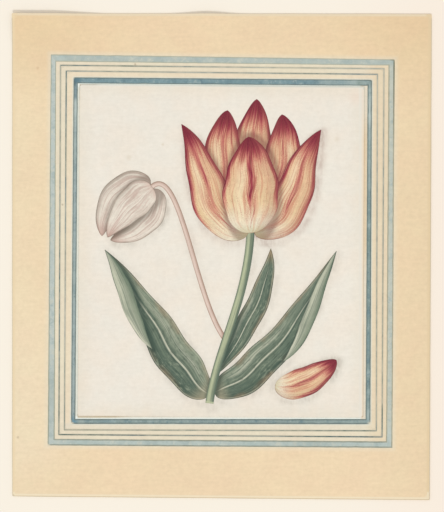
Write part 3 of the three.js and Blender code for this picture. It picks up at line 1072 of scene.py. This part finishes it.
def leaf_finish(name, seed, depth, bright_side):
    """A grey-green leaf: parallel veins, a pale midrib, a lit half and a shaded one."""
    tones = bpy.context.scene.flower_colours
    do = BladePaint(name, seed, 5.0, 26.0)
    along, side = do.along, do.side
    do.base = do.mix(do.streaks(0.32, 0.66), tones.leaf_dark, tones.leaf)
    lit = do.span(side, -0.4 * bright_side, 0.8 * bright_side)
    do.coat(tones.leaf_pale, lit, depth)
    do.coat(tones.leaf_pale, do.streaks(0.54, 0.74), 0.7)
    gleam = do.times(do.ridge(0.5 * bright_side, 0.3), do.window(along, 0.3, 0.6, 0.25))
    do.coat(tones.leaf_light, do.times(gleam, do.streaks(0.4, 0.62)), 0.75)
    shaded = do.span(side, -0.15 * bright_side, -1.0 * bright_side)
    do.coat(tones.leaf_deep, shaded, 0.75)
    do.coat(tones.leaf_deep, do.span(do.off, 0.3, 0.06), 0.5)
    do.coat(tones.leaf_dark, do.line, 0.55)
    veined = do.math("PINGPONG", do.times(side, 7.0), 0.5)
    do.coat(tones.leaf_deep, do.span(veined, 0.14, 0.0), 0.4)
    do.coat(tones.leaf_pale, do.hair, 0.25)
    midrib = do.times(do.span(do.off, 0.07, 0.02), do.span(along, 0.97, 0.6))
    do.coat(tones.leaf_light, midrib, 0.8)
    do.coat(tones.leaf_light, do.window_mm(do.rim, 0.7, 1.1, 0.4), 0.35)
    patchy = do.span(do.cloud(do.place, 70, detail=2), 0.42, 0.62)
    do.coat(tones.leaf_pale, do.times(patchy, do.span(do.dabs, 0.5, 0.66)), 0.55)
    do.coat(tones.leaf_deep, do.span(do.dabs, 0.44, 0.34), 0.35)
    rusty = do.times(do.cloud(do.place, 60), do.span(do.off, 0.2, 1.0))
    do.coat(tint(158, 128, 100), do.span(rusty, 0.3, 0.6), 0.4)
    do.coat(tint(164, 132, 94), do.span(along, 0.86, 1.0), 0.65)
    do.coat(tint(196, 182, 152), do.span(along, 0.14, 0.0), 0.55)
    do.coat(tones.leaf_deep, do.covered, 0.8)
    return do.dry(tones.leaf_deep, 0.65)


def turned_leaf_finish(name, seed):
    """The pale underside where a leaf's margin turns over."""
    tones = bpy.context.scene.flower_colours
    do = BladePaint(name, seed, 3.0, 9.0)
    do.base = do.mix(do.span(do.side, -0.8, 0.9), tones.leaf_light, tones.leaf)
    do.coat(tones.leaf_pale, do.streaks(0.4, 0.6), 0.5)
    do.coat(tones.leaf_dark, do.line, 0.5)
    return do.dry(tones.leaf_deep, 0.65)


def stalk_finish(name, seed, body, light, dark):
    """A round stalk: light along one side of the middle, dark at its edges."""
    do = BladePaint(name, seed, 3.0, 8.0)
    do.base = do.mix(do.streaks(0.3, 0.7), body, light)
    do.coat(light, do.ridge(-0.3, 0.6), 0.8)
    do.coat(dark, do.span(do.side, 0.05, 0.95), 0.85)
    do.coat(dark, do.span(do.side, -0.55, -1.0), 0.5)
    do.coat(dark, do.hair, 0.2)
    do.coat(dark, do.covered, 0.8)
    do.coat(light, do.span(do.along, 0.014, 0.008), 0.8)
    return do.dry(dark, 0.3)


def bud_finish(name, seed, shade_at, depth):
    """A closed pale bud: rosy veins, grey hatching, and a dark side from shade_at outward."""
    tones = bpy.context.scene.flower_colours
    do = BladePaint(name, seed, 5.0, 17.0)
    along, side = do.along, do.side
    do.base = do.mix(do.streaks(0.34, 0.6), tones.mauve, tones.bud_light)
    do.coat(tint(204, 168, 158), do.span(do.feather, 0.52, 0.66), 0.5)
    do.coat(tint(186, 156, 144), do.line, 0.5)
    shaded = do.span(side, shade_at, math.copysign(1, shade_at))
    do.coat(tones.mauve_shadow, shaded, depth)
    do.coat(tones.bud_dark, do.times(shaded, do.streaks(0.66, 0.46)), depth)
    do.coat(tones.mauve_shadow, do.span_mm(do.rim, 2.0, 0.2), 0.45)
    do.coat(tint(184, 132, 120), do.span(along, 0.8, 1.0), 0.5)
    do.coat(tones.rose, do.span(along, 0.2, 0.0), 0.5)
    do.coat(tones.bud_dark, do.covered, 0.55)
    return do.dry(tones.bud_dark, 0.6)


# Operators

# How far the table reaches each way, and how far it lies under the drawing.
TABLE_REACH = 3
TABLE_DROP = 0.05 * MM
SKY_COLOUR = (1, 0.975, 0.94, 1)
LAMP_COLOUR = (0.88, 0.93, 1)
LAMP_SPREAD = math.radians(9)
LAMP_TURN = (math.radians(42), 0, math.radians(-4))
# The camera looks straight down, from this far up the picture.
CAMERA_SHIFT = 0.6 * MM


class DRAWING_OT_stage(bpy.types.Operator):
    """Make the table, the even light, the soft lamp and the camera."""

    bl_idname = "drawing.stage"
    bl_label = "Stage"

    def execute(self, context):
        stage = context.scene.drawing_stage
        self.make_table(context.scene, stage.table)
        self.make_light(context.scene, stage)
        self.make_camera(context.scene, stage.camera_height)
        return {"FINISHED"}

    def make_table(self, scene, paint):
        mesh = bmesh.new()
        bmesh.ops.create_grid(mesh, x_segments=1, y_segments=1, size=TABLE_REACH)
        data = bpy.data.meshes.new("table")
        mesh.to_mesh(data)
        mesh.free()
        do = Finish("Table", 0.95, gloss=0.0)
        across, _, _ = do.parts(do.place)
        do.base = do.mix(do.span_mm(across, 60, 170), paint, tint(249, 237, 223))
        data.materials.append(do.done())
        table = bpy.data.objects.new("table", data)
        table.location.z = -TABLE_DROP
        scene.collection.objects.link(table)

    def make_light(self, scene, stage):
        scene.world = scene.world or bpy.data.worlds.new("Even Light")
        scene.world.use_nodes = True
        back = scene.world.node_tree.nodes["Background"]
        back.inputs["Color"].default_value = SKY_COLOUR
        back.inputs["Strength"].default_value = stage.sky
        sun = bpy.data.lights.new("soft_lamp", "SUN")
        sun.energy = stage.lamp
        sun.color = LAMP_COLOUR
        sun.angle = LAMP_SPREAD
        lamp = bpy.data.objects.new("soft_lamp", sun)
        lamp.rotation_euler = LAMP_TURN
        scene.collection.objects.link(lamp)
        scene.view_settings.view_transform = "Standard"

    def make_camera(self, scene, height):
        data = bpy.data.cameras.new("camera")
        data.lens = 100
        data.sensor_width = 36
        data.clip_end = 20
        camera = bpy.data.objects.new("camera", data)
        camera.location = (0, CAMERA_SHIFT, height)
        scene.collection.objects.link(camera)
        scene.camera = camera


# How many faces the two sheets have, across and up.
MOUNT_STEPS = (150, 174)
SHEET_STEPS = (164, 190)
# How far the knife went in from the outline, and the length of its wander along it.
KNIFE_DEPTH = 0.25 * MM
KNIFE_WANDER = 30 * MM
KNIFE_SEED = 9.1
CORNER_WEAR = 0.8 * MM
# How little an upright edge leans.
UPRIGHT = 1e-7
# What the mount's back stores in place of its distance inside the border, so that it stays plain.
OUTSIDE_BORDER = -50 * MM


class DRAWING_OT_mount_sheet(bpy.types.Operator):
    """Make the tan mount sheet, lifted along its top edge."""

    bl_idname = "drawing.mount_sheet"
    bl_label = "Mount Sheet"

    def execute(self, context):
        mesh = new_grid(*MOUNT_STEPS)
        for vert in mesh.verts:
            across, up = shares(vert)
            place = within(MOUNT, across, up)
            place += self.cut_wander(across, up, place)
            vert.co = (*place, mount_face(*place))
        close_below(mesh, underside)
        self.soften(mesh)
        piece = finish_piece(mesh, "mount", card_finish(), ["mount_sheet"])
        spots = places(piece)
        store(piece, "edge", edge_distances(MOUNT, spots))
        behind = [vert.normal.z < -0.5 for vert in piece.data.vertices]
        outlines = {
            "ruled": OUTER_BAND[0], "washed": INNER_BAND[0],
            "outer_ruled": OUTER_LINE, "inner_ruled": INNER_LINE,
        }
        for key, corners in outlines.items():
            store(piece, key, np.where(behind, OUTSIDE_BORDER, edge_distances(corners, spots)))
        return {"FINISHED"}

    def cut_wander(self, across, up, place):
        """The knife's small wander, only inward, at the four sides."""
        depth = KNIFE_DEPTH * drift(*place, KNIFE_WANDER, KNIFE_WANDER, KNIFE_SEED)
        inward = {0: depth, 1: -depth}
        return Vector((inward.get(across, 0), inward.get(up, 0)))

    def soften(self, mesh):
        """Rounds the worn corners."""
        bmesh.ops.bevel(
            mesh, geom=[edge for edge in mesh.edges if self.is_corner(edge)], offset=CORNER_WEAR,
            offset_type="OFFSET", segments=4, profile=0.5, affect="EDGES", clamp_overlap=True,
            material=-1,
        )

    def is_corner(self, edge):
        """Whether an edge stands upright between two sides of the sheet."""
        low, high = (vert.co for vert in edge.verts)
        return (high - low).to_2d().length < UPRIGHT and edge.calc_face_angle(0) > 1


class DRAWING_OT_paste_layer(bpy.types.Operator):
    """Give the paste its finish. Its solid stays as it is, under the drawing."""

    bl_idname = "drawing.paste_layer"
    bl_label = "Paste Layer"

    def execute(self, context):
        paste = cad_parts["paste_layer"]
        paste.data.materials.clear()
        paste.data.materials.append(paste_finish())
        return {"FINISHED"}


class DRAWING_OT_drawing_sheet(bpy.types.Operator):
    """Make the off-white drawing sheet, with the brushed shadow that it carries."""

    bl_idname = "drawing.drawing_sheet"
    bl_label = "Drawing Sheet"

    def execute(self, context):
        mesh = new_grid(*SHEET_STEPS)
        for vert in mesh.verts:
            place = within(SHEET, *shares(vert))
            vert.co = (*place, sheet_face(*place))
        close_below(mesh, sheet_back)
        finish = drawing_paper_finish()
        piece = finish_piece(mesh, "drawing_paper", finish, ["drawing_sheet"])
        spots = places(piece)
        store(piece, "edge", edge_distances(SHEET, spots))
        store(piece, "wash", painted_shadow(spots, SMUDGED, SMUDGE_SHIFT, SMUDGE_SOFTNESS))
        return {"FINISHED"}


SIDES = ("top", "right", "bottom", "left")
# How many faces a ring has along each side and across, and how near its two ends meet.
SIDE_STEPS = 96
STEPS_ACROSS = 4
TOUCHING = 1e-6
# A wash's darker and lighter streaks, and the tones of its ink outline clockwise from the top.
PALE_STREAKS = (tint(168, 182, 178), tint(202, 204, 190))
PALE_INKS = (tint(172, 174, 154), tint(164, 158, 132), tint(140, 145, 130), tint(156, 160, 140))
DEEP_STREAKS = (tint(104, 130, 138), tint(164, 180, 178))
# Where dark colour gathered at the outer rim, and how well the ruled lines took the ink, both
# against the turn round the border from its top left.
PALE_RIM_POOL = ((0.249, 0.0), (0.2505, 1.0), (0.262, 0.9), (0.29, 0.35), (0.31, 0.0))
OUTER_FULLNESS = (
    (0.0, 0.92), (0.06, 0.94), (0.16, 0.56), (0.24, 0.62), (0.26, 0.57), (0.34, 0.78), (0.475, 0.74),
    (0.485, 1.1), (0.52, 1.15), (0.6, 0.87), (0.7, 1.0), (0.78, 1.12), (0.88, 0.92), (1.0, 0.62),
)
INNER_FULLNESS = (
    (0.0, 0.78), (0.1, 0.66), (0.18, 0.8), (0.245, 1.08), (0.253, 0.58), (0.34, 0.79), (0.49, 0.67),
    (0.51, 1.05), (0.58, 0.73), (0.74, 0.7), (0.76, 0.82), (0.83, 0.62), (0.92, 0.9), (1.0, 1.18),
)


class DRAWING_OT_border(bpy.types.Operator):
    """Make the two washed bands and the two ruled lines of the border."""

    bl_idname = "drawing.border"
    bl_label = "Border"

    def execute(self, context):
        tones = context.scene.paper_colours
        width = context.scene.drawing_paper.line_width
        pale = washed_band_finish(
            "Pale Wash", (tones.pale_top, tones.pale_worn, tones.pale_deep, tones.pale_blue),
            PALE_STREAKS, PALE_INKS, (BORDER_GROUND, 0.7), PALE_BAND_POOLS, PALE_RIM_POOL,
        )
        deep = washed_band_finish(
            "Deep Wash", (tones.deep_blue, tones.deep_grey, tones.deep_foot, tones.deep_worn),
            DEEP_STREAKS, [tones.dark_ink] * 4, (tint(204, 208, 194), 0.6), DEEP_BAND_POOLS,
        )
        grey, blue = tones.grey_ink, tones.blue_ink
        outer_inks = (grey, grey, tones.full_ink, grey)
        inner_inks = (blue, blue, tones.olive_ink, blue)
        outer = line_finish("Ruling Ink, Outer", outer_inks, OUTER_FULLNESS)
        inner = line_finish("Ruling Ink, Inner", inner_inks, INNER_FULLNESS)
        self.ring("outer_band", OUTER_BAND, pale, "pale_wash")
        self.ring("outer_line", (OUTER_LINE, inset(OUTER_LINE, width)), outer, "ruled_ink")
        self.ring("inner_line", (INNER_LINE, inset(INNER_LINE, width)), inner, "ruled_ink")
        self.ring("inner_band", INNER_BAND, deep, "deep_wash")
        return {"FINISHED"}

    def ring(self, name, outlines, material, slot):
        """A strip between two outlines, mitred at each corner and closed on itself."""
        outer, inner = outlines
        skin = bpy.context.scene.drawing_paper.skin
        mesh = new_grid(4 * SIDE_STEPS, STEPS_ACROSS)
        rim = mesh.verts.layers.float.new("rim")
        for vert in mesh.verts:
            turn, across = shares(vert)
            side = min(int(4 * turn + TOUCHING), 3)
            part = 4 * turn - side
            outside = outer[side].lerp(outer[(side + 1) % 4], part)
            inside = inner[side].lerp(inner[(side + 1) % 4], part)
            place = outside.lerp(inside, across)
            vert.co = (*place, mount_face(*place) + skin)
            vert[rim] = min(across, 1 - across) * self.width_at(outer, inner, side)
        bmesh.ops.remove_doubles(mesh, verts=mesh.verts[:], dist=TOUCHING)
        close_below(mesh, mount_face)
        finish_piece(mesh, f"{name}_ring", material, [f"{name}_{side}" for side in SIDES])

    def width_at(self, outer, inner, side):
        """The strip's width square to one of its sides."""
        return abs(side_way(outer, side).cross(inner[side] - outer[side]))


class BladePainter:
    """Paints the blades of its rows: each has a slot, a finish, its name and what it is told."""

    def execute(self, context):
        for blade, slot, finish, name, *given in self.ROWS:
            blade_piece(blade, bpy.data.materials.get(name) or finish(name, *given))
        return {"FINISHED"}


class DRAWING_OT_leaves(BladePainter, bpy.types.Operator):
    """Paint the three leaves and their turned margins."""

    bl_idname = "drawing.leaves"
    bl_label = "Leaves"
    ROWS = (
        ("leaf_back", "deep_green_bodycolour", leaf_finish, "Leaf, Back", 3.0, 0.2, -1),
        ("leaf_right", "deep_green_bodycolour", leaf_finish, "Leaf, Right", 11.0, 0.35, -1),
        ("leaf_left", "green_bodycolour", leaf_finish, "Leaf, Left", 7.0, 0.55, 1),
        ("leaf_left_turn", "underside_bodycolour", turned_leaf_finish, "Leaf Underside", 5.0),
        ("leaf_right_turn", "underside_bodycolour", turned_leaf_finish, "Leaf Underside", 5.0),
    )


class DRAWING_OT_stalks(bpy.types.Operator):
    """Paint the flower's stem and the bud's stalk."""

    bl_idname = "drawing.stalks"
    bl_label = "Stalks"

    def execute(self, context):
        tones = context.scene.flower_colours
        green = stalk_finish("Stem", 2.0, tones.leaf, tint(192, 198, 162), tones.leaf_dark)
        blade_piece("stem", green)
        rose = stalk_finish("Bud Stalk", 8.0, tones.rose, tint(228, 208, 194), tint(160, 130, 112))
        blade_piece("bud_stalk", rose)
        return {"FINISHED"}


class DRAWING_OT_bloom(BladePainter, bpy.types.Operator):
    """Paint the six petals of the flower and the fallen one."""

    bl_idname = "drawing.bloom"
    bl_label = "Bloom"
    ROWS = (
        ("petal_back_middle", "yellow_bodycolour", petal_finish, "Petal Back Middle", 21.0, 0.5, 1),
        ("petal_back_left", "yellow_bodycolour", petal_finish, "Petal Back Left", 14.0, 0.6, 1),
        ("petal_back_right", "yellow_bodycolour", petal_finish, "Petal Back Right", 9.0, 0.6, -1),
        ("petal_left", "peach_bodycolour", petal_finish, "Petal Left", 4.0, 0.7, 1),
        ("petal_right", "peach_bodycolour", petal_finish, "Petal Right", 17.0, 0.7, 1),
        ("petal_front", "crimson_bodycolour", petal_finish, "Petal Front", 6.0, 1.0, 1),
        ("fallen_petal", "peach_bodycolour", petal_finish, "Fallen Petal", 27.0, 0.8, 1),
    )


class DRAWING_OT_bud(BladePainter, bpy.types.Operator):
    """Paint the hanging bud."""

    bl_idname = "drawing.bud"
    bl_label = "Bud"
    ROWS = (
        ("bud_lower", "grey_bodycolour", bud_finish, "Bud, Lower", 12.0, 0.0, 0.85),
        ("bud_upper", "grey_bodycolour", bud_finish, "Bud, Upper", 19.0, 0.45, 0.35),
        ("bud_front", "mauve_bodycolour", bud_finish, "Bud, Front", 23.0, 0.6, 0.3),
    )


class DRAWING_PT_pieces(bpy.types.Panel):
    """The pieces of the drawing, in the order they are made."""

    bl_idname = "DRAWING_PT_pieces"
    bl_label = "Mounted Drawing"
    bl_space_type = "VIEW_3D"
    bl_region_type = "UI"
    bl_category = "Drawing"

    def draw(self, context):
        column = self.layout.column()
        for operator in OPERATORS:
            column.operator(operator.bl_idname)
        for name in SETTINGS:
            settings = getattr(context.scene, name)
            for key in settings.bl_rna.properties.keys():
                if key not in ("rna_type", "name"):
                    column.prop(settings, key)


SETTINGS = {
    "drawing_paper": PaperSettings,
    "paper_colours": PaperColours,
    "flower_colours": FlowerColours,
    "drawing_stage": StageSettings,
}
OPERATORS = (
    DRAWING_OT_stage,
    DRAWING_OT_mount_sheet,
    DRAWING_OT_paste_layer,
    DRAWING_OT_drawing_sheet,
    DRAWING_OT_border,
    DRAWING_OT_leaves,
    DRAWING_OT_stalks,
    DRAWING_OT_bloom,
    DRAWING_OT_bud,
)


def register():
    for cls in (*SETTINGS.values(), *OPERATORS, DRAWING_PT_pieces):
        bpy.utils.register_class(cls)
    for key, cls in SETTINGS.items():
        setattr(bpy.types.Scene, key, PointerProperty(type=cls))


def unregister():
    for key in SETTINGS:
        delattr(bpy.types.Scene, key)
    for cls in reversed((*SETTINGS.values(), *OPERATORS, DRAWING_PT_pieces)):
        bpy.utils.unregister_class(cls)


def main():
    register()
    bpy.ops.drawing.stage()
    bpy.ops.drawing.mount_sheet()
    bpy.ops.drawing.paste_layer()
    bpy.ops.drawing.drawing_sheet()
    bpy.ops.drawing.border()
    bpy.ops.drawing.leaves()
    bpy.ops.drawing.stalks()
    bpy.ops.drawing.bloom()
    bpy.ops.drawing.bud()


if __name__ == "__main__":
    main()
